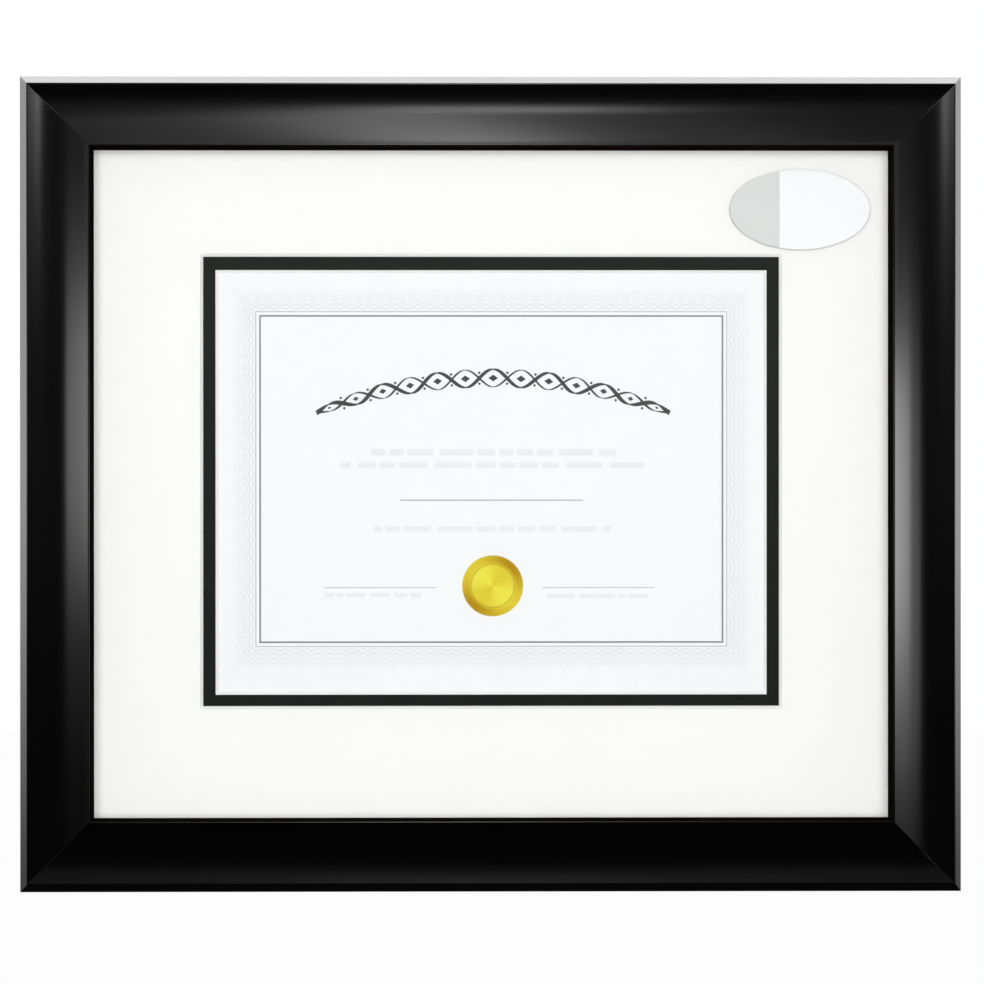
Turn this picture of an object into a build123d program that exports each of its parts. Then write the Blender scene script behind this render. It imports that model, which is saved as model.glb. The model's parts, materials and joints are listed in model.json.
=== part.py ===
from build123d import *
import os

os.makedirs("parts", exist_ok=True)

# Certificate frame for an 11 x 8.5 inch document, hung on a wall.
# Millimetres, +Z up, the front faces -Y. The origin is the centre of the wall
# plane, which the two rubber bumpers at the bottom corners touch.
# A height is counted from the rails' back plane towards the viewer.

# The document and the boards, all but the document cut to one size
document_width = 279.4
document_height = 215.9
board_width = 406.4
board_height = 342.9
glass_thickness = 2.0
mat_thickness = 1.4
sheet_thickness = 0.25
tape_thickness = 0.1
mount_board_thickness = 1.4
backing_thickness = 3.2
stack_slack = 0.15

# Windows of the two mats, with bevels cut at 45 degrees
liner_overlap = 3.0
liner_window_rise = 0.9
reveal = 6.2
top_window_rise = 1.4

# Moulding: a reverse scoop, high at the sight edge and low at the rim, with
# sides that lean in from a short upright foot
rail_width = 38.4
foot_height = 2.5
rim_across = 6.1
rim_height = 16.2
cove_low_across = 16.7
cove_low_height = 14.4
sight_wall = 13.6
rabbet_width = 6.35
cutting_allowance = 3.2
rim_round = 0.8
sight_round = 0.6

# Wedge nails that hold each mitre, driven in from the back
nail_leg = 6.5
nail_thickness = 0.5
nail_height = 10.0
first_nail_inset = 13.2
nail_pitch = 10.0

# Turn buttons that keep the backing in
button_inset = 8.0
button_radius = 5.5
button_tip_radius = 3.6
button_reach = 20.0
button_thickness = 1.2
button_edge = 0.25
button_gap = 0.1
side_button_share = 0.18
long_button_share = 0.25

# Screws of the turn buttons and the hangers, drawn with few sides, as are their holes
screw_radius = 1.5
screw_sides = 16
screw_bite = 11.0
head_radius = 3.2
head_top_radius = 2.3
head_height = 2.0
recess_length = 3.4
recess_width = 0.9
recess_depth = 1.1
running_clearance = 0.08
pilot_clearance = 0.02

# Strap hangers, each a strip folded round the bar of a D ring
strap_thickness = 0.8
strap_width = 10.0
strap_length = 22.0
strap_corner = 3.0
strap_screw_drop = 16.8
fold_round = 1.2
wire_radius = 1.1
wire_sides = 10
ring_half_width = 8.5
ring_straight = 3.0
ring_corner = 2.6
hanger_drop = 88.0

# Rubber bumpers, which set the gap to the wall
bumper_height = 5.0
bumper_radius = 5.5
bumper_face_radius = 3.6
bumper_side = 1.4
bumper_side_inset = 32.0
bumper_base_inset = 14.0

# Gold foil seal on the sheet, and the label on the glass
seal_radius = 15.5
seal_notches = 64
notch_depth = 0.45
seal_thickness = 0.2
seal_ring_radius = 12.4
seal_ring_width = 0.8
seal_ring_height = 0.06
seal_across = 0.7
seal_margin = 40.55
label_half_width = 35.0
label_half_height = 20.0
label_thickness = 0.15
label_side_margin = 9.05
label_top_margin = 9.4

# Heights of the stack, from the glass against the rabbet back to the backing
rabbet_depth = (glass_thickness + 2 * mat_thickness + sheet_thickness + tape_thickness
                + mount_board_thickness + backing_thickness + stack_slack)
glass_back = rabbet_depth - glass_thickness
top_mat_back = glass_back - mat_thickness
liner_back = top_mat_back - mat_thickness
sheet_back = liner_back - sheet_thickness
tape_back = sheet_back - tape_thickness
mount_board_back = tape_back - mount_board_thickness
backing_back = mount_board_back - backing_thickness

# Sizes and places that follow
sight_height = rabbet_depth + sight_wall
sight_opening_width = board_width + cutting_allowance - 2 * rabbet_width
sight_opening_height = board_height + cutting_allowance - 2 * rabbet_width
outer_width = sight_opening_width + 2 * rail_width
outer_height = sight_opening_height + 2 * rail_width
stack_centre = -cutting_allowance / 2
pilot_radius = screw_radius + pilot_clearance
eye_inner = wire_radius + running_clearance
eye_outer = eye_inner + strap_thickness
eye_height = eye_outer
liner_window_width = document_width - 2 * liner_overlap
liner_window_height = document_height - 2 * liner_overlap
top_window_width = liner_window_width + 2 * mat_thickness + 2 * reveal
top_window_height = liner_window_height + 2 * mat_thickness + 2 * reveal
label_across = sight_opening_width / 2 - label_side_margin - label_half_width
label_rise = sight_opening_height / 2 - label_top_margin - label_half_height
seal_rise = liner_window_rise - document_height / 2 + seal_margin + seal_radius


def level(height, x=0, z=0):
    """The plane parallel to the wall at a height above the rails' back plane, facing the viewer."""
    return Plane((x, -bumper_height - height, z), (1, 0, 0), (0, -1, 0))


def sideways(x, z):
    """The plane across X at a point of the back plane: its x is up, its y is to the wall."""
    return Plane(origin=(x, -bumper_height, z), x_dir=(0, 0, 1), z_dir=(-1, 0, 0))


# The four rails, each with the plane of its section: x runs in from the
# outer edge, y runs forward from the back, and z runs along the rail
rails = {
    "top_rail": (Plane((0, -bumper_height, outer_height / 2), (0, 0, -1), (-1, 0, 0)), outer_width),
    "bottom_rail": (Plane((0, -bumper_height, -outer_height / 2), (0, 0, 1), (1, 0, 0)), outer_width),
    "left_rail": (Plane((-outer_width / 2, -bumper_height, 0), (1, 0, 0), (0, 0, -1)), outer_height),
    "right_rail": (Plane((outer_width / 2, -bumper_height, 0), (-1, 0, 0), (0, 0, 1)), outer_height),
}

# The places of the turn buttons: the pivot and the way the tongue points
button_side = board_width * long_button_share
button_level = board_height * side_button_share
pivot_across = sight_opening_width / 2 + rabbet_width + button_inset
pivot_rise = sight_opening_height / 2 + rabbet_width + button_inset
buttons = {
    "turn_button_top_left": ((-button_side, pivot_rise), (0, 0, -1)),
    "turn_button_top_right": ((button_side, pivot_rise), (0, 0, -1)),
    "turn_button_bottom_left": ((-button_side, -pivot_rise), (0, 0, 1)),
    "turn_button_bottom_right": ((button_side, -pivot_rise), (0, 0, 1)),
    "turn_button_left_upper": ((-pivot_across, button_level), (1, 0, 0)),
    "turn_button_left_lower": ((-pivot_across, -button_level), (1, 0, 0)),
    "turn_button_right_upper": ((pivot_across, button_level), (-1, 0, 0)),
    "turn_button_right_lower": ((pivot_across, -button_level), (-1, 0, 0)),
}
button_screw_places = [pivot for pivot, tongue in buttons.values()]

# The places of the hangers, in the middle of the flat back of each side rail
hanger_across = sight_opening_width / 2 + rabbet_width + (rail_width - rabbet_width) / 2
hanger_rise = outer_height / 2 - hanger_drop
hangers = {"left": -hanger_across, "right": hanger_across}
hanger_screw_places = [(x, hanger_rise - strap_screw_drop) for x in hangers.values()]


def nail_outlines():
    """Two right-angled wedge outlines at each corner, their points on the mitre line."""
    for quarter in range(4):
        side = 1 if quarter in (0, 3) else -1
        up = 1 if quarter in (0, 1) else -1
        for number in range(2):
            inset = first_nail_inset + number * nail_pitch
            place = (side * (outer_width / 2 - inset), up * (outer_height / 2 - inset))
            with Locations(Location((place[0], place[1], 0), (0, 0, 90 * quarter))):
                Rectangle(nail_leg, nail_thickness, align=(Align.MIN, Align.MIN))
                Rectangle(nail_thickness, nail_leg, align=(Align.MIN, Align.MIN))


def add_screw(x, z, seat):
    """One pan head wood screw, its head's underside at seat behind the back plane."""
    with BuildSketch(level(-seat, x, z)) as shank:
        RegularPolygon(screw_radius, screw_sides)
    extrude(shank.sketch, amount=seat + screw_bite)
    with BuildSketch(level(-seat, x, z)) as head_underside:
        RegularPolygon(head_radius, screw_sides)
    with BuildSketch(level(-seat - head_height, x, z)) as head_top:
        RegularPolygon(head_top_radius, screw_sides)
    loft([head_underside.sketch, head_top.sketch])
    with BuildSketch(level(-seat - head_height, x, z)) as recess:
        Rectangle(recess_length, recess_width)
        Rectangle(recess_width, recess_length)
    extrude(recess.sketch, amount=recess_depth, mode=Mode.SUBTRACT)


# Rails: one moulding, mitred at both ends, slotted for the nails and drilled
for rail_name, (section, length) in rails.items():
    with BuildPart() as rail:
        with BuildSketch(section) as moulding:
            with BuildLine():
                Polyline((0, 0), (0, foot_height), (rim_across, rim_height))
                ThreePointArc((rim_across, rim_height), (cove_low_across, cove_low_height),
                              (rail_width, sight_height))
                Polyline((rail_width, sight_height), (rail_width, rabbet_depth),
                         (rail_width - rabbet_width, rabbet_depth), (rail_width - rabbet_width, 0), (0, 0))
            make_face()
            fillet(moulding.vertices().sort_by(Axis.Y)[-1], radius=sight_round)
            fillet(moulding.vertices().sort_by_distance((rim_across, rim_height))[0], radius=rim_round)
        extrude(amount=length / 2, both=True)
        for end in (-1, 1):
            corner = section.from_local_coords(Vector(0, 0, end * length / 2))
            keep_way = section.from_local_coords(Vector(-1, 0, -end)) - section.origin
            split(bisect_by=Plane(origin=corner, z_dir=keep_way), keep=Keep.TOP)
        with BuildSketch(level(0)):
            nail_outlines()
        extrude(amount=nail_height, mode=Mode.SUBTRACT)
        with BuildSketch(level(0)):
            with Locations(button_screw_places + hanger_screw_places):
                RegularPolygon(pilot_radius, screw_sides)
        extrude(amount=screw_bite, mode=Mode.SUBTRACT)
    rail.part.label = rail_name
    export_step(rail.part, "parts/" + rail_name + ".step")

# Wedge nails, flush with the back of the rails
with BuildPart() as corner_nails:
    with BuildSketch(level(0)):
        nail_outlines()
    extrude(amount=nail_height)
corner_nails.part.label = "corner_nails"
export_step(corner_nails.part, "parts/corner_nails.step")

# Glazing, against the rabbet and standing on the bottom rail
with BuildPart() as glazing:
    with BuildSketch(level(glass_back)):
        with Locations((0, stack_centre)):
            Rectangle(board_width, board_height)
    extrude(amount=glass_thickness)
glazing.part.label = "glazing"
export_step(glazing.part, "parts/glazing.step")

# Oval label on the front of the glass
with BuildPart() as glass_label:
    with BuildSketch(level(rabbet_depth, label_across, label_rise)):
        Ellipse(label_half_width, label_half_height)
    extrude(amount=label_thickness)
glass_label.part.label = "glass_label"
export_step(glass_label.part, "parts/glass_label.step")

# The two mats, each with a window whose bevel opens towards the viewer
mats = {
    "top_mat": (top_mat_back, top_window_width, top_window_height, top_window_rise),
    "liner_mat": (liner_back, liner_window_width, liner_window_height, liner_window_rise),
}
for mat_name, (back, window_width, window_height, rise) in mats.items():
    with BuildPart() as mat:
        with BuildSketch(level(back)):
            with Locations((0, stack_centre)):
                Rectangle(board_width, board_height)
        extrude(amount=mat_thickness)
        with BuildSketch(level(back)):
            with Locations((0, rise)):
                Rectangle(window_width, window_height)
        with BuildSketch(level(back + mat_thickness)):
            with Locations((0, rise)):
                Rectangle(window_width + 2 * mat_thickness, window_height + 2 * mat_thickness)
        loft(mode=Mode.SUBTRACT)
    mat.part.label = mat_name
    export_step(mat.part, "parts/" + mat_name + ".step")

# The certificate, behind the liner's window
with BuildPart() as certificate_sheet:
    with BuildSketch(level(sheet_back)):
        with Locations((0, liner_window_rise)):
            Rectangle(document_width, document_height)
    extrude(amount=sheet_thickness)
certificate_sheet.part.label = "certificate_sheet"
export_step(certificate_sheet.part, "parts/certificate_sheet.step")

# Foil seal with a notched edge and one raised ring
with BuildPart() as foil_seal:
    with BuildSketch(level(liner_back, seal_across, seal_rise)):
        with BuildLine():
            Polyline([Vector(seal_radius - notch_depth * (corner % 2), 0).rotate(
                Axis.Z, 180 * corner / seal_notches) for corner in range(2 * seal_notches)], close=True)
        make_face()
    extrude(amount=seal_thickness)
    with BuildSketch(level(liner_back + seal_thickness, seal_across, seal_rise)):
        Circle(seal_ring_radius)
        Circle(seal_ring_radius - seal_ring_width, mode=Mode.SUBTRACT)
    extrude(amount=seal_ring_height)
foil_seal.part.label = "foil_seal"
export_step(foil_seal.part, "parts/foil_seal.step")

# Hinge tapes, which step from the back of the liner onto the back of the sheet
tape_width = 25.0
tape_reach = 10.0
document_top = liner_window_rise + document_height / 2
with BuildPart() as hinge_tapes:
    for tape_side in (-1, 1):
        with BuildSketch(sideways(tape_side * document_width / 4, document_top)):
            with BuildLine():
                Polyline((-tape_reach, -tape_back), (tape_thickness, -tape_back),
                         (tape_thickness, tape_thickness - liner_back),
                         (tape_reach, tape_thickness - liner_back), (tape_reach, -liner_back),
                         (0, -liner_back), (0, -sheet_back), (-tape_reach, -sheet_back), close=True)
            make_face()
        extrude(amount=tape_width / 2, both=True)
hinge_tapes.part.label = "hinge_tapes"
export_step(hinge_tapes.part, "parts/hinge_tapes.step")

# Mount board and hardboard backing
boards = {
    "mount_board": (mount_board_back, mount_board_thickness),
    "backing_board": (backing_back, backing_thickness),
}
for board_name, (back, thickness) in boards.items():
    with BuildPart() as board:
        with BuildSketch(level(back)):
            with Locations((0, stack_centre)):
                Rectangle(board_width, board_height)
        extrude(amount=thickness)
    board.part.label = board_name
    export_step(board.part, "parts/" + board_name + ".step")

# Turn buttons: a pear-shaped steel plate that turns on its screw
for button_name, ((x, z), tongue) in buttons.items():
    button_plane = Plane((x, button_gap - bumper_height, z), tongue, (0, -1, 0))
    with BuildPart() as button:
        with BuildSketch(button_plane):
            Circle(button_radius)
            with Locations((button_reach - button_tip_radius, 0)):
                Circle(button_tip_radius)
            make_hull()
            RegularPolygon(screw_radius + running_clearance, screw_sides, mode=Mode.SUBTRACT)
        extrude(amount=-button_thickness)
        chamfer(button.faces().sort_by(Axis.Y)[-1].outer_wire().edges(), length=button_edge)
    button.part.label = button_name
    export_step(button.part, "parts/" + button_name + ".step")

# Screws of the turn buttons
with BuildPart() as turn_button_screws:
    for x, z in button_screw_places:
        add_screw(x, z, button_thickness + 2 * button_gap)
turn_button_screws.part.label = "turn_button_screws"
export_step(turn_button_screws.part, "parts/turn_button_screws.step")

# Hangers: the folded strap with its eye, and the D ring in it, turned up
for hanger_side, x in hangers.items():
    with BuildPart() as strap:
        with BuildSketch(sideways(x, hanger_rise)) as strap_section:
            with Locations((0, eye_height)):
                Circle(eye_outer)
            Rectangle(strap_length, 2 * strap_thickness, align=(Align.MAX, Align.MIN))
            hollow = strap_section.vertices().sort_by(Axis.Y).filter_by_position(
                Axis.Y, 2 * strap_thickness - pilot_clearance, 2 * strap_thickness + pilot_clearance)
            fillet(hollow.sort_by(Axis.X)[-1], radius=fold_round)
            with Locations((0, eye_height)):
                Circle(eye_inner, mode=Mode.SUBTRACT)
        extrude(amount=strap_width / 2, both=True)
        lower_end = strap.edges().filter_by(Axis.Y).group_by(Axis.Z)[0]
        fillet(lower_end, radius=strap_corner)
        with BuildSketch(level(0)):
            with Locations((x, hanger_rise - strap_screw_drop)):
                RegularPolygon(screw_radius + running_clearance, screw_sides)
        extrude(amount=-2 * strap_thickness, mode=Mode.SUBTRACT)
    strap.part.label = "hanger_strap_" + hanger_side
    export_step(strap.part, "parts/hanger_strap_" + hanger_side + ".step")

    ring_plane = Plane((x, eye_height - bumper_height, hanger_rise), (1, 0, 0), (0, -1, 0))
    with BuildPart() as ring:
        with BuildLine(ring_plane) as ring_path:
            FilletPolyline((-ring_half_width, ring_straight), (-ring_half_width, 0),
                           (ring_half_width, 0), (ring_half_width, ring_straight), radius=ring_corner)
            ThreePointArc((ring_half_width, ring_straight), (0, ring_straight + ring_half_width),
                          (-ring_half_width, ring_straight))
        with BuildSketch(Plane(ring_path.wire() @ 0, z_dir=ring_path.wire() % 0)):
            RegularPolygon(wire_radius, wire_sides)
        sweep(path=ring_path.wire())
    ring.part.label = "hanger_ring_" + hanger_side
    export_step(ring.part, "parts/hanger_ring_" + hanger_side + ".step")

# Screws of the hangers
with BuildPart() as hanger_screws:
    for x, z in hanger_screw_places:
        add_screw(x, z, 2 * strap_thickness)
hanger_screws.part.label = "hanger_screws"
export_step(hanger_screws.part, "parts/hanger_screws.step")

# Bumpers at the bottom corners
with BuildPart() as wall_bumpers:
    for bumper_end in (-1, 1):
        bumper_x = bumper_end * (outer_width / 2 - bumper_side_inset)
        bumper_z = bumper_base_inset - outer_height / 2
        with BuildSketch(Plane((bumper_x, -bumper_height, bumper_z), (1, 0, 0), (0, 0, 1))):
            with BuildLine():
                Polyline((bumper_face_radius, bumper_height), (0, bumper_height), (0, 0),
                         (bumper_radius, 0), (bumper_radius, bumper_side), close=True)
            make_face()
        revolve(axis=Axis((bumper_x, -bumper_height, bumper_z), (0, 1, 0)))
wall_bumpers.part.label = "wall_bumpers"
export_step(wall_bumpers.part, "parts/wall_bumpers.step")
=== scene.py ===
import json
import math

import bpy
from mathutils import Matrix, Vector


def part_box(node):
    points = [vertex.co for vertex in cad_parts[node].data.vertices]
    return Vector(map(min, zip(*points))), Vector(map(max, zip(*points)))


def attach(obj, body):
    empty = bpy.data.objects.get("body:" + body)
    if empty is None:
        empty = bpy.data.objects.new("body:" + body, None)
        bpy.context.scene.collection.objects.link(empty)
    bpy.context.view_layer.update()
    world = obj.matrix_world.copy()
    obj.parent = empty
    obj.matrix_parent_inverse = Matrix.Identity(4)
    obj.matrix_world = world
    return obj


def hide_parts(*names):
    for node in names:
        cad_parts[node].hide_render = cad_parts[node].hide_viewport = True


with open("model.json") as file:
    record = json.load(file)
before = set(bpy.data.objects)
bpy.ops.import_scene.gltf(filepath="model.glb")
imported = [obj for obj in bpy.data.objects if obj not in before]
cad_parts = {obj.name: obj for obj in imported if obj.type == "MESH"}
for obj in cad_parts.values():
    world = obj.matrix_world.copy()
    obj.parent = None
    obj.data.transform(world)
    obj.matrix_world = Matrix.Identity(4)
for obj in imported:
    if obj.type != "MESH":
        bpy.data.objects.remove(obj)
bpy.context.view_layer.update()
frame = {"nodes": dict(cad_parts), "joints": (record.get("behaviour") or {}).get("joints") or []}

nodes = frame["nodes"]

# Camera: a metre in front of the frame, a little left of its middle and below it, looking almost
# square at the glass. The lens is shifted slightly, because the picture is cropped off centre.
camera_place = (-0.0210, -1.0388, -0.0130)
camera_turn = 0.0062
camera_tilt = -0.0012
camera_roll = 0.0003
picture_width_px = 984
focal_length_px = 2048.5
shift_across_px = 29.9
shift_up_px = 20.6
bpy.ops.object.camera_add(location=camera_place,
                          rotation=(math.pi / 2 + camera_tilt, camera_roll, -camera_turn))
camera = bpy.context.object
camera.data.lens = camera.data.sensor_width * focal_length_px / picture_width_px
camera.data.shift_x = shift_across_px / picture_width_px
camera.data.shift_y = shift_up_px / picture_width_px
bpy.context.scene.camera = camera
bpy.context.scene.view_settings.view_transform = "Standard"


# Room: a white backdrop behind the object, seen by the camera and mirrored in gloss, a dim room
# in front of it, and a pale floor well below, as under a frame that hangs on a wall.
class Signal:
    """A shader node's output, on which Python's sums add Math nodes."""

    def __init__(self, socket):
        self.socket = socket

    def math(self, operation, *others, use_clamp=False):
        node = self.socket.id_data.nodes.new("ShaderNodeMath")
        node.operation = operation
        node.use_clamp = use_clamp
        for entry, value in zip(node.inputs, (self, *others)):
            feed(entry, value)
        return Signal(node.outputs[0])

    def __add__(self, other):
        return self.math("ADD", other)

    def __mul__(self, other):
        return self.math("MULTIPLY", other)

    def __sub__(self, other):
        return self.math("SUBTRACT", other)

    def __rsub__(self, other):
        return self.math("MULTIPLY_ADD", -1.0, other)

    def __truediv__(self, other):
        return self.math("DIVIDE", other)

    def __abs__(self):
        return self.math("ABSOLUTE")

    __radd__ = __add__
    __rmul__ = __mul__

    def fraction(self):
        return self.math("FRACT")

    def below(self, limit, soft):
        """1 below the limit and 0 above it, across an edge of the given softness."""
        return self.math("SUBTRACT", limit).math("MULTIPLY_ADD", -1.0 / soft, 0.5, use_clamp=True)

    def above(self, limit, soft):
        return self.math("SUBTRACT", limit).math("MULTIPLY_ADD", 1.0 / soft, 0.5, use_clamp=True)


def feed(entry, value):
    """Links a signal to a socket, or sets the socket's own value."""
    if isinstance(value, Signal):
        entry.id_data.links.new(value.socket, entry)
    else:
        entry.default_value = value


def add_node(tree, kind, inputs=None, output=0, **settings):
    """Adds a shader node with its settings, then its sockets' values or links."""
    node = tree.nodes.new("ShaderNode" + kind)
    for name, value in settings.items():
        setattr(node, name, value)
    for socket, value in (inputs or {}).items():
        feed(node.inputs[socket], value)
    return Signal(node.outputs[output])


room_level_low = 0.004
room_level_high = 0.12
fill_level = 0.16
world = bpy.data.worlds.new("studio")
world.use_nodes = True
bpy.context.scene.world = world
room = world.node_tree
rays = {name: add_node(room, "LightPath", output=name)
        for name in ("Is Camera Ray", "Is Glossy Ray", "Is Transmission Ray", "Diffuse Depth")}
direction = add_node(room, "TexCoord", output="Generated")
to_back = add_node(room, "SeparateXYZ", {0: direction}, output=1)
upward = add_node(room, "SeparateXYZ", {0: direction}, output=2)
behind = to_back.above(0.05, 0.1) * upward.above(-0.1, 0.2)
mirrored = rays["Is Glossy Ray"].math("MAXIMUM", rays["Is Transmission Ray"])
mirrored = mirrored * (1 - rays["Diffuse Depth"].math("MINIMUM", 1.0))
front_room = upward.above(0.05, 0.24) * room_level_high + room_level_low
seen_in_gloss = front_room + behind * (1 - front_room)
level = mirrored * (seen_in_gloss - fill_level) + fill_level
level = level.math("MAXIMUM", rays["Is Camera Ray"])
feed(room.nodes["Background"].inputs["Strength"], level)
room.nodes["Background"].inputs["Color"].default_value = (1, 1, 1, 1)

mm = 0.001


class Finish:
    """A material under way: its nodes, its Principled shader and places in millimetres."""

    def __init__(self, name):
        self.material = bpy.data.materials.new(name)
        self.material.use_nodes = True
        self.tree = self.material.node_tree
        self.shader = self.tree.nodes["Principled BSDF"]
        self.object_place = self.node("TexCoord", output="Object")
        metres = self.node("SeparateXYZ", {0: self.object_place}, output=0).socket.node
        self.x, self.y, self.z = (Signal(metres.outputs[axis]) * (1 / mm) for axis in range(3))

    def node(self, kind, inputs=None, output=0, **settings):
        return add_node(self.tree, kind, inputs, output, **settings)

    def noise(self, size, detail=2.0, stretch=(1, 1, 1), roughness=0.5):
        """Noise from 0 to 1 whose blobs measure about size millimetres, times stretch by axis."""
        scale = [1 / mm / size / along for along in stretch]
        place = self.node("Mapping", {"Vector": self.object_place, "Scale": scale})
        return self.node("TexNoise", {"Vector": place, "Scale": 1.0, "Detail": detail,
                                      "Roughness": roughness})

    def blend(self, mask, under, over):
        """The under colour where the mask is 0 and the over colour where it is 1."""
        return self.node("Mix", {0: mask, 6: under, 7: over}, output=2, data_type="RGBA")

    def bump(self, height, depth_mm):
        """A bump of a height signal from 0 to 1, depth_mm deep."""
        self.set(Normal=self.node("Bump", {"Height": height, "Strength": 1.0,
                                           "Distance": depth_mm * mm}))

    def set(self, **sockets):
        for name, value in sockets.items():
            feed(self.shader.inputs[name.replace("_", " ")], value)


def grey(level, warmth=0.0):
    """A neutral colour, a little redder and less blue where warmth is above 0."""
    return (level * (1 + warmth), level, level * (1 - warmth), 1)


def dress(node_name, finish):
    """Puts a finish on a CAD node in place of its plain material."""
    for material_slot in nodes[node_name].material_slots:
        material_slot.material = finish.material


# Floor: a pale painted one that starts behind the frame and takes its shadow. To the camera it also
# glows a little, so that it shows near white.
floor_drop = 1.2
floor_size = 8.0
floor_start = 2.0
floor_show_share = 0.75
floor_glow = 1.25
floor_place = (0, floor_start + floor_size / 2, -floor_drop)
bpy.ops.mesh.primitive_plane_add(size=floor_size, location=floor_place)
floor = bpy.context.object
floor.name = "studio_floor"
floor_finish = Finish("studio_floor_paint")
speckle = floor_finish.noise(60.0, detail=3.0)
floor_finish.set(Base_Color=floor_finish.blend(speckle, grey(0.70), grey(0.74)), Roughness=0.85)
to_camera = floor_finish.node("LightPath", output="Is Camera Ray")
shown_floor = floor_finish.node("MixShader", {
    0: to_camera * floor_show_share, 1: Signal(floor_finish.shader.outputs[0]),
    2: floor_finish.node("Emission", {"Color": grey(1.0), "Strength": floor_glow})})
feed(floor_finish.tree.nodes["Material Output"].inputs["Surface"], shown_floor)
floor.data.materials.append(floor_finish.material)


# Lamps: one broad panel ahead lights the frame and shows in no gloss. The sheen panels show in the
# lacquer's gloss alone, and two lamps light the back. Angles are in degrees, sizes in metres.
def softbox(name, azimuth, elevation, distance, width, height, radiance,
            on_matt=True, in_gloss=True):
    """A lamp panel that faces the frame's middle, placed by its direction from there."""
    a, e = math.radians(azimuth), math.radians(elevation)
    out = Vector((math.sin(a) * math.cos(e), -math.cos(a) * math.cos(e), math.sin(e)))
    bpy.ops.object.light_add(type="AREA", location=out * distance)
    lamp = bpy.context.object
    lamp.name = name
    lamp.rotation_euler = out.to_track_quat("Z", "Y").to_euler()
    lamp.data.shape = "RECTANGLE"
    lamp.data.size, lamp.data.size_y = width, height
    lamp.data.energy = radiance * math.pi * width * height
    lamp.visible_camera = False
    lamp.visible_diffuse = on_matt
    lamp.visible_transmission = False
    lamp.visible_glossy = in_gloss


softbox("key_ahead", 0, 2, 1.8, 1.50, 1.10, 7.1, in_gloss=False)
softbox("sheen_left", -70, 3.2, 1.3, 1.05, 0.27, 3.3, on_matt=False)
softbox("sheen_right", 78, -0.6, 1.3, 0.80, 0.28, 4.3, on_matt=False)
softbox("sheen_right_wide", 68, -2.6, 1.3, 1.25, 0.42, 1.9, on_matt=False)
softbox("sheen_top", -4.4, 57, 1.3, 0.21, 1.5, 3.8, on_matt=False)
softbox("sheen_top_wide", -3.6, 60, 1.4, 0.80, 1.4, 0.40, on_matt=False)
softbox("sheen_above_camera", 1.0, 24, 1.3, 0.27, 0.24, 5.5, on_matt=False)
softbox("sheen_backdrop", 180, 40, 1.6, 1.5, 0.5, 1.6, on_matt=False)
softbox("rear_left", -125, 30, 1.6, 0.5, 0.5, 4.0)
softbox("rear_right", 125, 30, 1.6, 0.5, 0.5, 5.0)

# Rails: a reverse scoop of soft wood, lacquered satin black on its face and sides and left bare
# behind. Each corner is mitred, glued and held by wedge nails, so a hairline shows on the mitre.
outer_half_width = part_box("right_rail")[1].x / mm
outer_half_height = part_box("top_rail")[1].z / mm
back_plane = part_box("top_rail")[1].y / mm
sight_half_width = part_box("right_rail")[0].x / mm
sight_half_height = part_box("top_rail")[0].z / mm
mitre_hairline = 0.16
lacquer_black = grey(0.0006, 0.03)
lacquer_worn = grey(0.0009, 0.05)
lacquer_in_joint = grey(0.0004)
lacquer_mist = grey(0.02, 0.1)
wood_dark = (0.43, 0.29, 0.155, 1)
wood_pale = (0.66, 0.49, 0.30, 1)
wood_ring = (0.36, 0.22, 0.11, 1)
glue_line = (0.05, 0.03, 0.015, 1)
lip_stain = (0.0085, 0.0068, 0.0052, 1)
lip_width = 0.12


def rail_finish(name, grain):
    """Lacquer over the face and sides, bare wood behind, and a matt stain on the sight lip."""
    finish = Finish(name)
    across_mitre = abs((abs(finish.x) - outer_half_width) - (abs(finish.z) - outer_half_height))
    hairline = across_mitre.below(mitre_hairline, 0.14)
    peel = finish.noise(1.6, detail=3.0)
    telegraph = finish.noise(1.1, detail=4.0, stretch=grain)
    sheen = finish.noise(55.0, detail=3.0)
    nib = finish.noise(0.9, detail=0.0).above(0.79, 0.03)
    lacquer = finish.blend(sheen, lacquer_black, lacquer_worn)
    lacquer = finish.blend(hairline * 0.8, lacquer, lacquer_in_joint)
    overspray = finish.noise(3.0, detail=4.0) * 1.6 - 0.8
    bare = (finish.y + overspray * 0.05).above(back_plane - 0.12, 0.08)
    pores = finish.noise(0.45, detail=3.0, stretch=[along * 1.4 for along in grain])
    rings = finish.noise(7.0, detail=2.0, stretch=grain)
    wood = finish.blend(pores, wood_dark, wood_pale)
    wood = finish.blend(rings.above(0.52, 0.14) * 0.55, wood, wood_ring)
    wood = finish.blend(hairline * 0.8, wood, glue_line)
    from_side = outer_half_width - abs(finish.x)
    from_edge = from_side.math("MINIMUM", outer_half_height - abs(finish.z))
    mist = (from_edge + overspray).below(1.4, 2.4) * 0.85
    wood = finish.blend(mist, wood, lacquer_mist)
    finish.set(Base_Color=finish.blend(bare, lacquer, wood),
               Roughness=bare * 0.35 + (sheen * 0.05 + 0.20 + hairline * 0.2),
               Specular_IOR_Level=0.5)
    beside_sight = abs(finish.x) - sight_half_width
    from_sight = beside_sight.math("MAXIMUM", abs(finish.z) - sight_half_height)
    face = finish.node("MixShader", {
        0: from_sight.below(lip_width, 0.1), 1: Signal(finish.shader.outputs[0]),
        2: finish.node("BsdfDiffuse", {"Color": lip_stain})})
    feed(finish.tree.nodes["Material Output"].inputs["Surface"], face)
    relief = peel * 0.35 + telegraph * 0.3 + nib * 0.5 - hairline * 6.0 + bare * pores * 8.0
    finish.bump(relief, 0.006)
    return finish


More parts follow.
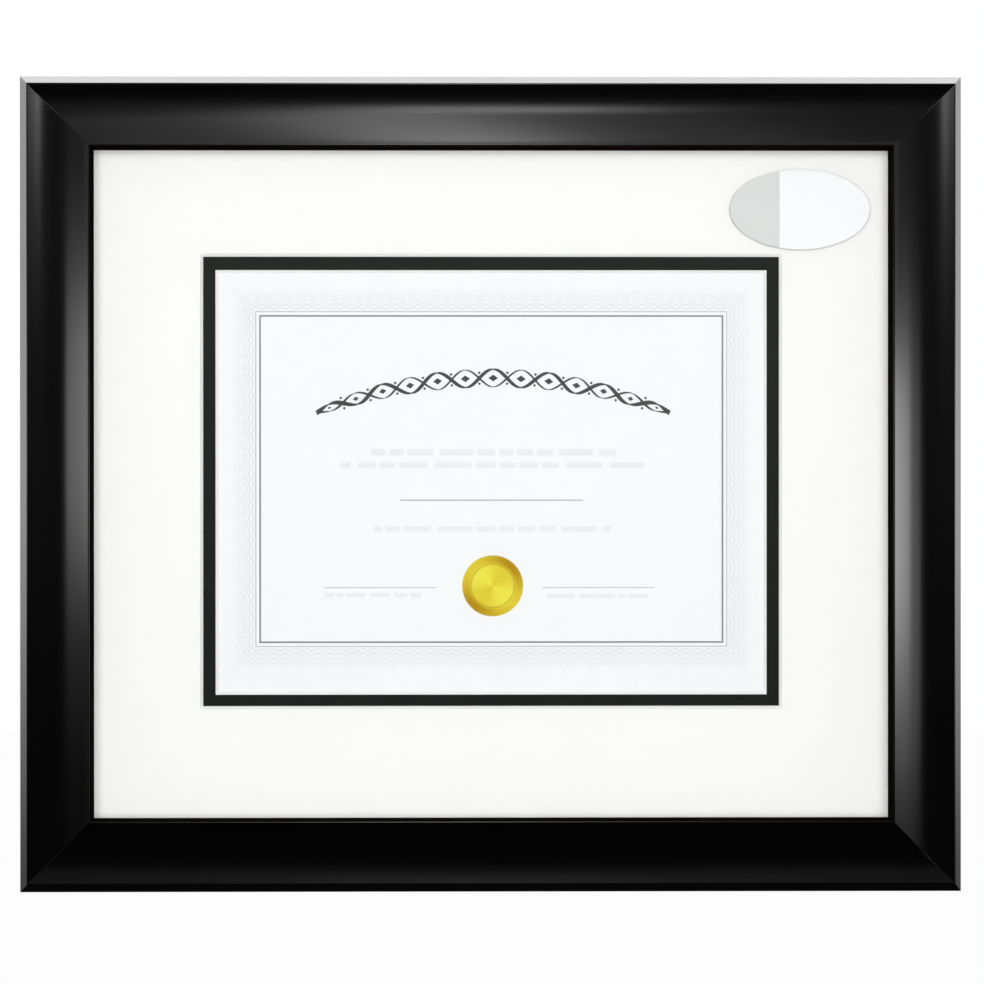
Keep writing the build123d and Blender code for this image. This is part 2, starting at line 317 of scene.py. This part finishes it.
grain_length = 26
lying_finish = rail_finish("lacquer_lying_rail", (grain_length, 1, 1))
upright_finish = rail_finish("lacquer_upright_rail", (1, 1, grain_length))
for rail in ("top_rail", "bottom_rail"):
    dress(rail, lying_finish)
for rail in ("left_rail", "right_rail"):
    dress(rail, upright_finish)

# Wedge nails: bent strips of bright steel, two across the mitre at each corner, driven in from
# the back until they are flush.
nail_finish = Finish("nail_steel")
scuff = nail_finish.noise(0.8, detail=4.0)
nail_finish.set(Base_Color=nail_finish.blend(scuff, grey(0.30, 0.02), grey(0.55, 0.0)),
                Metallic=1.0, Roughness=scuff * 0.25 + 0.3)
nail_finish.bump(scuff, 0.02)
dress("corner_nails", nail_finish)

# Glass: a clear float pane, 2 mm thick, cut to size with its edges seamed so that they don't bite.
# It lies in the rabbet on top of the mats. Lamps shine through it as they do through real glass.
mat_clearance = Vector((0, 0.06 * mm, 0))
pane_seam = 0.3
glass_low, glass_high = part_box("glazing")
bpy.ops.object.select_all(action="DESELECT")
bpy.ops.mesh.primitive_cube_add(size=1, scale=glass_high - glass_low - mat_clearance,
                                location=(glass_low + glass_high - mat_clearance) / 2)
pane = bpy.context.object
pane.name = "glass_pane"
bpy.ops.object.transform_apply(location=True, rotation=True, scale=True)
bpy.ops.object.mode_set(mode="EDIT")
bpy.ops.mesh.select_all(action="SELECT")
bpy.ops.mesh.bevel(offset=pane_seam * mm, segments=2)
bpy.ops.object.mode_set(mode="OBJECT")
glass_finish = Finish("clear_glass")
smear = glass_finish.noise(70.0, detail=2.0)
glass_tint = glass_finish.blend(smear, (0.990, 0.995, 0.992, 1), (0.997, 1.0, 0.998, 1))
glass_finish.set(Base_Color=glass_tint, Roughness=0.0, IOR=1.45, Transmission_Weight=1.0)
lamp_ray = glass_finish.node("LightPath", output="Is Shadow Ray")
through = glass_finish.node("MixShader", {
    0: lamp_ray, 1: Signal(glass_finish.shader.outputs[0]),
    2: glass_finish.node("BsdfTransparent", {"Color": grey(0.99)})})
feed(glass_finish.tree.nodes["Material Output"].inputs["Surface"], through)
pane.data.materials.append(glass_finish.material)
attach(pane, "frame")
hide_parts("glazing")

# Label: a soft oval of clay-coated paper stuck on the glass, one end tinted grey and the rest
# white. Both fields are left bare.
label_division = 144.2
label_finish = Finish("label_paper")
tinted = label_finish.x.below(label_division, 0.15)
fibre = label_finish.noise(0.6, detail=4.0)
ink = label_finish.blend(fibre, (0.600, 0.625, 0.610, 1), (0.635, 0.660, 0.645, 1))
stock = label_finish.blend(fibre, (0.835, 0.840, 0.850, 1), (0.860, 0.865, 0.875, 1))
label_finish.set(Base_Color=label_finish.blend(tinted, stock, ink), Roughness=fibre * 0.15 + 0.42)
label_finish.bump(fibre, 0.01)
dress("glass_label", label_finish)


# Mats: board of pressed paper pulp, the wide one white and the liner black, each with a window
# cut at 45 degrees by a bevel cutter. The glass holds them flat.
def mat_finish(name, face, face_deep, core, core_deep):
    """Board with a paper face, and a pulp core where the bevel cutter opened it."""
    finish = Finish(name)
    fibre = finish.noise(0.55, detail=5.0, roughness=0.62)
    mottle = finish.noise(38.0, detail=3.0)
    facing = finish.node("NewGeometry", output="True Normal")
    cut = abs(finish.node("SeparateXYZ", {0: facing}, output=1)).below(0.9, 0.05)
    paper = finish.blend(fibre * 0.6 + mottle * 0.4, face_deep, face)
    pulp = finish.blend(finish.noise(0.3, detail=4.0, stretch=(1, 0.4, 1)), core_deep, core)
    finish.set(Base_Color=finish.blend(cut, paper, pulp), Roughness=fibre * 0.1 + 0.8,
               Specular_IOR_Level=0.3)
    finish.bump(fibre + cut * fibre * 1.5, 0.02)
    return finish


dress("top_mat", mat_finish("white_mat", (0.945, 0.947, 0.925, 1), (0.925, 0.928, 0.905, 1),
                            (0.95, 0.95, 0.94, 1), (0.92, 0.92, 0.905, 1)))
dress("liner_mat", mat_finish("black_mat", (0.0105, 0.0125, 0.0108, 1), (0.0075, 0.0090, 0.0078, 1),
                              (0.90, 0.90, 0.88, 1), (0.84, 0.84, 0.82, 1)))

# Certificate: a smooth, cool white sheet, printed in black and greys. It has a traditional lace
# border, a double line, a bowed ornament at its head, and bare rules to write on.
print_centre = (0.1, 2.6)
line_half_width = 118.2
line_half_height = 84.0
line_gap = 2.15
sheet_finish = Finish("certificate_paper")
px = sheet_finish.x - print_centre[0]
pz = sheet_finish.z - print_centre[1]
beyond_side = abs(px) - line_half_width
beyond_top = abs(pz) - line_half_height
beyond = beyond_side.math("MAXIMUM", beyond_top)
thin_line = abs(beyond).below(0.22, 0.25) * 0.50
thick_line = abs(beyond + line_gap).below(0.40, 0.3) * 0.80

# Lace of two mirrored families of waves that fades towards the sheet's edge
lace_pitch = 11.2
lace_swing = 2.6
lace_mesh = 2.4
lace_reach = 12.5
lace_scallop = 2.2
lace_ink = 0.12
lace_tint = 0.022
on_side = beyond_side.math("GREATER_THAN", beyond_top)
along = px + on_side * (pz - px)
wave = (along * (math.tau / lace_pitch)).math("SINE") * lace_swing
lace = None
for way_up in (1, -1):
    thread = abs(((beyond + wave * way_up) / lace_mesh).fraction() - 0.5).below(0.16, 0.16)
    lace = thread if lace is None else lace.math("MAXIMUM", thread)
scallop = abs((along * (math.pi / lace_pitch)).math("SINE")) * lace_scallop
band = beyond.above(0.9, 0.5) * (beyond - scallop).below(lace_reach - 3.0, 1.6)
fade = (beyond / -lace_reach + 1.25).math("MAXIMUM", 0.0)
lace = (lace * lace_ink + lace_tint) * band * fade

# The bowed ornament is an interlaced band of pointed leaves, with a stone in each and beads
# between, and it tapers to both ends
bow_radius = 233.2
bow_centre = (1.0, -179.9)
bow_half_length = 91.0
leaf_length = 14.0
leaf_half_height = 4.4
bead_radius = 0.62
bead_height = leaf_half_height * 0.62
bx = sheet_finish.x - bow_centre[0]
bz = sheet_finish.z - bow_centre[1]
run = bx.math("ARCTAN2", bz) * bow_radius
rise = (bx * bx + bz * bz).math("SQRT") - bow_radius
taper = (1 - (run / bow_half_length).math("POWER", 2.0)).math("MAXIMUM", 0.0).math("SQRT")
swing = (run * (math.pi / leaf_length)).math("COSINE")
stroke = abs((run * (math.pi / leaf_length)).math("SINE")) * 0.95 + 0.30
ribbon = swing * taper * leaf_half_height
over = abs(rise - ribbon) - stroke
under = abs(rise + ribbon) - stroke * 0.55
bow = over.math("MINIMUM", under).below(0.0, 0.22)
in_leaf = abs((run / leaf_length).fraction() - 0.5) * leaf_length
stone = (abs(leaf_length / 2 - in_leaf) / 2.4 + abs(rise) / 1.7).below(taper, 0.12)
above_bead = abs(rise) - bead_height
bead = (in_leaf * in_leaf + above_bead * above_bead).math("SQRT").below(bead_radius, 0.2)
bead = bead * abs(run).below(bow_half_length - leaf_length * 0.7, 0.3)
bow = bow.math("MAXIMUM", stone).math("MAXIMUM", bead) * abs(run).below(bow_half_length, 0.3)


def rule(centre_x, half_length, height_z, half_thickness, soft=0.2):
    """A straight printed rule on the sheet."""
    ends = abs(sheet_finish.x - centre_x).below(half_length, 0.3)
    return ends * abs(sheet_finish.z - height_z).below(half_thickness, soft)


def broken_bar(centre_x, half_length, height_z, half_height, dash_size):
    """A pale bar, broken into dashes of uneven length."""
    dashes = sheet_finish.noise(dash_size, detail=0.0, stretch=(1, 1000, 1000))
    return rule(centre_x, half_length, height_z, half_height, 0.5) * dashes.above(0.40, 0.03)


pale_bars = broken_bar(1.2, 61.5, 16.0, 1.6, 5.0)
for row in ((0.5, 76.5, 9.5, 1.4, 5.5), (0.7, 59.5, -22.4, 1.3, 5.2),
            (-58.6, 24.8, -55.6, 1.0, 4.0), (53.0, 26.4, -56.1, 1.0, 4.1)):
    pale_bars = pale_bars.math("MAXIMUM", broken_bar(*row))
rules = rule(0.2, 46.0, -8.0, 0.22) * 0.75
rules = rules.math("MAXIMUM", rule(-55.8, 28.0, -51.9, 0.16) * 0.6)
rules = rules.math("MAXIMUM", rule(53.8, 28.0, -51.9, 0.16) * 0.6)
ink = (thin_line + thick_line).math("MAXIMUM", lace).math("MAXIMUM", bow * 0.96)
ink = ink.math("MAXIMUM", pale_bars * 0.10).math("MAXIMUM", rules)
fibre = sheet_finish.noise(0.7, detail=4.0)
paper = sheet_finish.blend(fibre, (0.895, 0.915, 0.925, 1), (0.915, 0.935, 0.945, 1))
sheet_finish.set(Base_Color=sheet_finish.blend(ink, paper, (0.018, 0.018, 0.019, 1)),
                 Roughness=0.62 - ink * 0.12)
sheet_finish.bump(fibre, 0.012)
dress("certificate_sheet", sheet_finish)

# Seal: gold foil on paper, gummed to the sheet. A die cuts its edge in 64 fine notches and presses
# up a ribbed band, two raised rings and a slightly domed disc.
seal_low, seal_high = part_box("foil_seal")
seal_thickness = 0.12
seal_place = (seal_low + seal_high) / 2
seal_place.y = seal_high.y - seal_thickness * mm
seal_radius = 15.5
band_radius = 14.9
notch_radius = 15.05
notch_count = 64
rib_start = 12.9
rib_end = 14.6
rib_height = 0.08

# Steps from the band's edge to the middle, each so far inward and so far forward: the ribbed band,
# the outer ring, the field, the inner ring and the domed disc
seal_steps = ((0.45, 0), (1.40, 0), (0.30, 0),
              (0.12, 0.09), (0.38, 0.03), (0.38, -0.03), (0.12, -0.09),
              (1.15, 0),
              (0.12, 0.07), (0.24, 0.03), (0.24, -0.03), (0.12, -0.05),
              (0.60, 0), (1.6, 0.03), (2.0, 0.03), (2.0, 0.02), (1.8, 0.01), (1.2, 0.01))


def pick(piece, kind, test):
    """Opens a piece in edit mode, with only what passes a test of its place selected, in mm."""
    bpy.context.view_layer.objects.active = piece
    bpy.ops.object.mode_set(mode="EDIT")
    bpy.ops.mesh.select_mode(type=kind)
    bpy.ops.mesh.select_all(action="DESELECT")
    bpy.ops.object.mode_set(mode="OBJECT")
    points = piece.data.vertices
    for part in {"VERT": points, "EDGE": piece.data.edges, "FACE": piece.data.polygons}[kind]:
        corners = [points[i].co for i in getattr(part, "vertices", [part.index])]
        part.select = bool(test(sum(corners, Vector()) / len(corners) / mm))
    bpy.ops.object.mode_set(mode="EDIT")


def from_seal_centre(place):
    return Vector((place.x - seal_place.x / mm, place.z - seal_place.z / mm))


def every_other(place):
    across, up = from_seal_centre(place)
    return round(math.atan2(across, up) / math.tau * notch_count * 2) % 2 == 0


def widen(radius, wanted_radius):
    """Scales what is selected across the seal, from one radius to another."""
    ratio = wanted_radius / radius
    bpy.ops.transform.resize(value=(ratio, 1, ratio), center_override=seal_place)


bpy.ops.object.select_all(action="DESELECT")
bpy.ops.mesh.primitive_circle_add(vertices=notch_count * 2, radius=band_radius * mm,
                                  fill_type="NGON", location=seal_place,
                                  rotation=(math.pi / 2, 0, 0))
seal = bpy.context.object
seal.name = "pressed_foil_seal"
bpy.ops.object.transform_apply(location=True, rotation=True, scale=True)
pick(seal, "FACE", lambda place: True)
for inward, forward in seal_steps:
    bpy.ops.mesh.inset(thickness=inward * mm, depth=forward * mm)
pick(seal, "VERT", lambda place: (rib_start < from_seal_centre(place).length < rib_end
                                  and every_other(place)))
bpy.ops.transform.translate(value=(0, -rib_height * mm, 0))
pick(seal, "EDGE", lambda place: from_seal_centre(place).length > band_radius - 0.1)
bpy.ops.mesh.extrude_edges_move()
widen(band_radius, seal_radius)
pick(seal, "VERT", lambda place: (from_seal_centre(place).length > seal_radius - 0.1
                                  and every_other(place)))
widen(seal_radius, notch_radius)
bpy.ops.object.mode_set(mode="OBJECT")
foil = seal.modifiers.new("foil", "SOLIDIFY")
foil.thickness = seal_thickness * mm
bpy.ops.object.modifier_apply(modifier="foil")
bpy.ops.object.shade_smooth_by_angle(angle=math.radians(12))
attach(seal, "frame")
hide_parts("foil_seal")

groove_radius = 10.75
disc_radius = 11.5
dot_ring_radius = 11.25
dot_count = 84
seal_finish = Finish("gold_foil")
sx = seal_finish.x - seal_place.x / mm
sz = seal_finish.z - seal_place.z / mm
from_centre = (sx * sx + sz * sz).math("SQRT")
angle = sx.math("ARCTAN2", sz)
# Painted sheen: the spun foil's reflection is painted into the colour as a conic pattern, darker
# towards the upper right and lower left and lighter between, in light and dark copies of each gold.
painted_spun_sheen = (angle * 2.0 + math.radians(96)).math("COSINE") * 0.5 + 0.5
disc_gold_and_sheen = seal_finish.blend(painted_spun_sheen, (0.86, 0.70, 0.050, 1), (0.98, 0.90, 0.095, 1))
band_gold_and_sheen = seal_finish.blend(painted_spun_sheen, (0.55, 0.31, 0.012, 1), (0.86, 0.69, 0.050, 1))
gold = seal_finish.blend(from_centre.above(disc_radius, 1.6), disc_gold_and_sheen, band_gold_and_sheen)
# Painted shade: the beads of the dot ring and a ring at the outer foot of the inner raised ring are
# painted a darker gold, standing in for the shade of the pressed relief.
dots = abs((angle * (dot_count / math.tau)).fraction() - 0.5).below(0.28, 0.2)
dots = dots * abs(from_centre - dot_ring_radius).below(0.28, 0.25)
painted_groove_shade = abs(from_centre - groove_radius).below(0.35, 0.4)
gold = seal_finish.blend(painted_groove_shade * 0.35 + dots * 0.45, gold, (0.42, 0.26, 0.015, 1))
crease = seal_finish.noise(0.35, detail=3.0)
seal_finish.set(Base_Color=gold, Metallic=0.25, Roughness=crease * 0.1 + 0.36,
                Specular_IOR_Level=0.05)
seal_finish.bump(crease * 0.3 + dots, 0.03)
seal.data.materials.append(seal_finish.material)

# Hinge tapes, mount board and backing: two linen tapes hang the sheet from the liner, off-white
# card backs it, and brown pressed hardboard, smooth on its outer face, closes the rabbet.
thread_pitch = 0.6
tape_finish = Finish("linen_tape")
warp = abs((tape_finish.x / thread_pitch).fraction() - 0.5)
weave = warp + abs((tape_finish.z / thread_pitch).fraction() - 0.5)
tape_finish.set(Base_Color=tape_finish.blend(weave, (0.78, 0.75, 0.68, 1), (0.88, 0.86, 0.80, 1)),
                Roughness=0.85)
tape_finish.bump(weave, 0.03)
dress("hinge_tapes", tape_finish)

card_finish = Finish("mount_card")
fibre = card_finish.noise(0.6, detail=4.0)
card_finish.set(Base_Color=card_finish.blend(fibre, (0.76, 0.74, 0.69, 1), (0.84, 0.82, 0.77, 1)),
                Roughness=0.85)
card_finish.bump(fibre, 0.02)
dress("mount_board", card_finish)

board_finish = Finish("hardboard")
fibre = board_finish.noise(1.1, detail=6.0, roughness=0.7)
fleck = board_finish.noise(1.2, detail=2.0, stretch=(2.4, 1, 1)).above(0.62, 0.05)
dark_fleck = board_finish.noise(1.4, detail=2.0, stretch=(1, 1, 2.2)).above(0.63, 0.05)
cloud = board_finish.noise(45.0, detail=4.0)
brown = board_finish.blend(fibre, (0.110, 0.054, 0.024, 1), (0.320, 0.185, 0.090, 1))
brown = board_finish.blend(cloud * 0.4, brown, (0.235, 0.130, 0.062, 1))
brown = board_finish.blend(fleck * 0.3, brown, (0.42, 0.28, 0.15, 1))
brown = board_finish.blend(dark_fleck * 0.4, brown, (0.07, 0.035, 0.018, 1))
board_finish.set(Base_Color=brown, Roughness=fibre * 0.2 + 0.5)
board_finish.bump(fibre, 0.03)
dress("backing_board", board_finish)

# Turn buttons: eight tear-shaped tongues, punched from 1.2 mm nickel plated strip and tumbled until
# their edges are soft. Each is held by a screw, and its tongue keeps the backing in.
def steel_finish(name, dark, bright, roughness):
    """Plated steel, faintly brushed and hazed."""
    finish = Finish(name)
    brushed = finish.noise(0.5, detail=4.0, stretch=(3, 3, 1))
    haze = finish.noise(6.0, detail=3.0)
    finish.set(Base_Color=finish.blend(brushed * 0.5 + haze * 0.5, dark, bright), Metallic=1.0,
               Roughness=haze * 0.15 + roughness)
    finish.bump(brushed, 0.004)
    return finish


def cut_away(piece, cutter):
    """Subtracts the cutter from a piece and leaves the piece active."""
    bpy.context.view_layer.update()
    cut = piece.modifiers.new("cut", "BOOLEAN")
    cut.operation = "DIFFERENCE"
    cut.object = cutter
    bpy.context.view_layer.objects.active = piece
    bpy.ops.object.modifier_apply(modifier="cut")


def soften_edges(piece, width):
    """Bevels every sharp edge and shades the rest smooth."""
    pick(piece, "EDGE", lambda place: False)
    bpy.ops.mesh.edges_select_sharp(sharpness=math.radians(50))
    bpy.ops.mesh.bevel(offset=width * mm, segments=2)
    bpy.ops.object.mode_set(mode="OBJECT")
    bpy.ops.object.select_all(action="DESELECT")
    piece.select_set(True)
    bpy.ops.object.shade_smooth_by_angle(angle=math.radians(30))


def fit_copy(pattern, name, place, turn, body, node, finish):
    """Copies a pattern made at the origin, turns it about Y, sets it in place and fits it out."""
    twin = pattern.copy()
    twin.data = pattern.data.copy()
    twin.name = name
    bpy.context.collection.objects.link(twin)
    bpy.ops.object.select_all(action="DESELECT")
    twin.select_set(True)
    bpy.context.view_layer.objects.active = twin
    twin.location = place
    twin.rotation_euler = (0, turn, 0)
    bpy.ops.object.transform_apply(location=True, rotation=True, scale=True)
    twin.data.materials.append(finish.material)
    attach(twin, body)
    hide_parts(node)


plated_finish = steel_finish("plated_steel", grey(0.52, 0.02), grey(0.72, 0.02), 0.22)
button_radius = 5.5
button_reach = 16.4
tongue_radius = 3.6
button_thickness = 1.2
button_gap = 0.1
button_edge = 0.25
screw_hole_radius = 1.58
bpy.ops.object.select_all(action="DESELECT")
bpy.ops.mesh.primitive_circle_add(vertices=64, radius=button_radius * mm,
                                  rotation=(math.pi / 2, 0, 0))
button = bpy.context.object
bpy.ops.object.transform_apply(location=True, rotation=True, scale=True)
pick(button, "VERT", lambda place: place.z < -0.01)
bpy.ops.transform.translate(value=(0, 0, -button_reach * mm))
tongue_ratio = tongue_radius / button_radius
bpy.ops.transform.resize(value=(tongue_ratio, 1, tongue_ratio),
                         center_override=(0, 0, -button_reach * mm))
bpy.ops.mesh.select_all(action="DESELECT")
bpy.ops.mesh.primitive_circle_add(vertices=64, radius=screw_hole_radius * mm,
                                  rotation=(math.pi / 2, 0, 0))
bpy.ops.mesh.select_all(action="SELECT")
bpy.ops.mesh.bridge_edge_loops()
bpy.ops.mesh.select_all(action="SELECT")
bpy.ops.mesh.extrude_region_move(
    TRANSFORM_OT_translate={"value": (0, button_thickness * mm, 0)})
bpy.ops.mesh.select_all(action="SELECT")
bpy.ops.mesh.normals_make_consistent(inside=False)
soften_edges(button, button_edge)
tongue_turns = {"top": 0, "bottom": math.pi, "left": -math.pi / 2, "right": math.pi / 2}
screw_places = {}
for joint in frame["joints"]:
    if joint["name"].endswith("_turn"):
        name = joint["child"]
        x, y, z = joint["pos_m"]
        screw_places[name] = (x, z)
        fit_copy(button, name + "_plate", (x, (back_plane + button_gap) * mm, z),
                 tongue_turns[name.split("_")[2]], name, name, plated_finish)
bpy.data.objects.remove(button)

# Hangers: a strip of the same steel folded round the bar of a D ring and laid double. The ring is
# bent from 2.2 mm wire and swings in the strip's eye.
strap_width = 10.0
strap_thickness = 0.8
strap_length = 22.0
strap_corner = 3.0
strap_edge = 0.12
ply_gap = 0.004
eye_across = 1.58
eye_height = 1.98
fold_turn = math.radians(255)
return_turn = math.radians(75)
return_radius = 1.6
strap_hole_drop = 16.8
fold_way = Vector((0, -math.cos(fold_turn), math.sin(fold_turn)))
return_centre = Vector((0, eye_height, 0)) + fold_way * (eye_across + return_radius)
bpy.ops.object.select_all(action="DESELECT")
bpy.ops.mesh.primitive_plane_add(size=mm, rotation=(math.pi / 2, 0, 0),
                                 location=(0, strap_thickness / 2 * mm, -strap_length / 2 * mm))
strap = bpy.context.object
strap.scale = (strap_width, strap_length, 1)
bpy.ops.object.transform_apply(location=True, rotation=True, scale=True)
pick(strap, "EDGE", lambda place: place.z > -0.01)
bpy.ops.mesh.spin(steps=30, angle=fold_turn, center=(0, eye_height * mm, 0), axis=(1, 0, 0))
bpy.ops.mesh.spin(steps=9, angle=return_turn, center=return_centre * mm, axis=(-1, 0, 0))
bpy.ops.mesh.extrude_edges_move(
    TRANSFORM_OT_translate={"value": (0, 0, (-strap_length - return_centre.z) * mm)})
pick(strap, "VERT", lambda place: place.z < 0.01 - strap_length)
bpy.ops.mesh.bevel(affect="VERTICES", offset=strap_corner * mm, segments=7)
bpy.ops.mesh.select_all(action="SELECT")
bpy.ops.mesh.normals_make_consistent(inside=False)
bpy.ops.object.mode_set(mode="OBJECT")
sheet_steel = strap.modifiers.new("sheet_steel", "SOLIDIFY")
sheet_steel.thickness = (strap_thickness - ply_gap) * mm
sheet_steel.offset = 0
bpy.ops.object.modifier_apply(modifier="sheet_steel")
bpy.ops.mesh.primitive_cylinder_add(vertices=32, radius=screw_hole_radius * mm, depth=8 * mm,
                                    location=(0, 0, -strap_hole_drop * mm),
                                    rotation=(math.pi / 2, 0, 0))
punch = bpy.context.object
cut_away(strap, punch)
bpy.data.objects.remove(punch)
soften_edges(strap, strap_edge)

wire_radius = 1.1
ring_half_width = 8.5
ring_straight = 3.0
ring_corner = 2.6
bar_half = ring_half_width - ring_corner
bpy.ops.object.select_all(action="DESELECT")
bpy.ops.mesh.primitive_circle_add(vertices=24, radius=wire_radius * mm,
                                  rotation=(0, math.pi / 2, 0))
ring = bpy.context.object
bpy.ops.object.transform_apply(location=True, rotation=True, scale=True)
pick(ring, "EDGE", lambda place: True)
for length, way, steps, angle, centre in (
        (bar_half, (1, 0, 0), 8, 90, (bar_half, 0, ring_corner)),
        (ring_straight - ring_corner, (0, 0, 1), 44, 180, (0, 0, ring_straight)),
        (ring_straight - ring_corner, (0, 0, -1), 8, 90, (-bar_half, 0, ring_corner)),
        (bar_half, (1, 0, 0), 0, 0, None)):
    bpy.ops.mesh.extrude_edges_move(TRANSFORM_OT_translate={"value": Vector(way) * length * mm})
    if steps:
        bpy.ops.mesh.spin(steps=steps, angle=math.radians(angle), center=Vector(centre) * mm,
                          axis=(0, 1, 0))
bpy.ops.mesh.select_all(action="SELECT")
bpy.ops.mesh.remove_doubles(threshold=0.001 * mm)
bpy.ops.mesh.normals_make_consistent(inside=False)
bpy.ops.object.mode_set(mode="OBJECT")
bpy.ops.object.shade_smooth_by_angle(angle=math.radians(40))
for joint in frame["joints"]:
    if joint["name"].endswith("_swing"):
        name = joint["child"]
        x, y, z = joint["pos_m"]
        side = name.split("_")[2]
        fit_copy(strap, "folded_strap_" + side, (x, back_plane * mm, z), 0, "frame",
                 "hanger_strap_" + side, plated_finish)
        fit_copy(ring, "d_ring_" + side, (x, y, z), 0, name, name, plated_finish)
        screw_places["hanger_" + side] = (x, z - strap_hole_drop * mm)
bpy.data.objects.remove(strap)
bpy.data.objects.remove(ring)

# Screws: zinc plated pan heads with a cross recess, one through each button and each hanger, driven
# into the rails by hand, so each recess stands at its own angle.
screw_finish = steel_finish("screw_steel", grey(0.50, 0.06), grey(0.70, 0.05), 0.25)
head_radius = 3.2
head_height = 2.0
head_round = 1.2
shank_radius = 1.5
shank_length = 10.0
point_length = 2.4
point_ratio = 0.08
recess_size = (3.4, 2.4, 0.85)
recess_height = 2.1
recess_taper = (0.45, 1, 0.7)
first_recess_turn = 12
next_recess_turn = 37
head_above = {"turn": 1.4, "hanger": 1.6}
bpy.ops.object.select_all(action="DESELECT")
bpy.ops.mesh.primitive_cylinder_add(vertices=48, radius=head_radius * mm, depth=head_height * mm,
                                    location=(0, head_height / 2 * mm, 0),
                                    rotation=(math.pi / 2, 0, 0))
screw = bpy.context.object
bpy.ops.object.transform_apply(location=True, rotation=True, scale=True)
pick(screw, "EDGE", lambda place: place.y > head_height - 0.01)
bpy.ops.mesh.bevel(offset=head_round * mm, segments=6)
pick(screw, "FACE", lambda place: place.y < 0.01)
bpy.ops.mesh.inset(thickness=(head_radius - shank_radius) * mm)
bpy.ops.mesh.extrude_region_move(TRANSFORM_OT_translate={"value": (0, -shank_length * mm, 0)})
bpy.ops.mesh.extrude_region_move(TRANSFORM_OT_translate={"value": (0, -point_length * mm, 0)})
bpy.ops.transform.resize(value=(point_ratio, 1, point_ratio), center_override=(0, 0, 0))
bpy.ops.object.mode_set(mode="OBJECT")
bpy.ops.mesh.primitive_cube_add(size=mm, scale=recess_size, location=(0, recess_height * mm, 0))
cross = bpy.context.object
bpy.ops.object.transform_apply(location=True, rotation=True, scale=True)
pick(cross, "FACE", lambda place: place.y < 1.0)
bpy.ops.transform.resize(value=recess_taper, center_override=(0, 0, 0))
bpy.ops.object.mode_set(mode="OBJECT")
cut_away(screw, cross)
cross.rotation_euler = (0, math.pi / 2, 0)
cut_away(screw, cross)
bpy.data.objects.remove(cross)
bpy.ops.object.select_all(action="DESELECT")
screw.select_set(True)
bpy.ops.object.shade_smooth_by_angle(angle=math.radians(30))
for count, (name, (x, z)) in enumerate(screw_places.items()):
    kind = name.split("_")[0]
    node = "turn_button_screws" if kind == "turn" else "hanger_screws"
    recess_turn = math.radians(next_recess_turn * count + first_recess_turn)
    fit_copy(screw, name + "_screw", (x, (back_plane + head_above[kind]) * mm, z), recess_turn,
             "frame", node, screw_finish)
bpy.data.objects.remove(screw)

# Bumpers: soft black rubber buttons, moulded with a foot and a tapered body, and stuck to the lower
# corners so that the frame stands off the wall and hangs level.
bumper_radius = 5.5
bumper_foot = 1.4
bumper_height = 5.0
bumper_end_radius = 3.6
bumper_round = 0.45
bumper_from_side = 32.0
bumper_from_bottom = 14.0
bpy.ops.object.select_all(action="DESELECT")
bpy.ops.mesh.primitive_cylinder_add(vertices=48, radius=bumper_radius * mm, depth=bumper_foot * mm,
                                    location=(0, bumper_foot / 2 * mm, 0),
                                    rotation=(math.pi / 2, 0, 0))
bumper = bpy.context.object
bpy.ops.object.transform_apply(location=True, rotation=True, scale=True)
pick(bumper, "FACE", lambda place: place.y > bumper_foot - 0.01)
bpy.ops.mesh.extrude_region_move(
    TRANSFORM_OT_translate={"value": (0, (bumper_height - bumper_foot) * mm, 0)})
bumper_taper = bumper_end_radius / bumper_radius
bpy.ops.transform.resize(value=(bumper_taper, 1, bumper_taper), center_override=(0, 0, 0))
pick(bumper, "EDGE", lambda place: (place.y > bumper_height - 0.01
                                    or abs(place.y - bumper_foot) < 0.01))
bpy.ops.mesh.bevel(offset=bumper_round * mm, segments=4)
bpy.ops.object.mode_set(mode="OBJECT")
bpy.ops.object.shade_smooth_by_angle(angle=math.radians(25))
rubber_finish = Finish("bumper_rubber")
bloom = rubber_finish.noise(1.5, detail=4.0)
rubber_finish.set(Base_Color=rubber_finish.blend(bloom, grey(0.018), grey(0.034)),
                  Roughness=bloom * 0.2 + 0.6)
rubber_finish.bump(bloom, 0.02)
for side, way in (("left", -1), ("right", 1)):
    bumper_place = ((outer_half_width - bumper_from_side) * way * mm, back_plane * mm,
                    (bumper_from_bottom - outer_half_height) * mm)
    fit_copy(bumper, "wall_bumper_" + side, bumper_place, 0, "frame", "wall_bumpers",
             rubber_finish)
bpy.data.objects.remove(bumper)
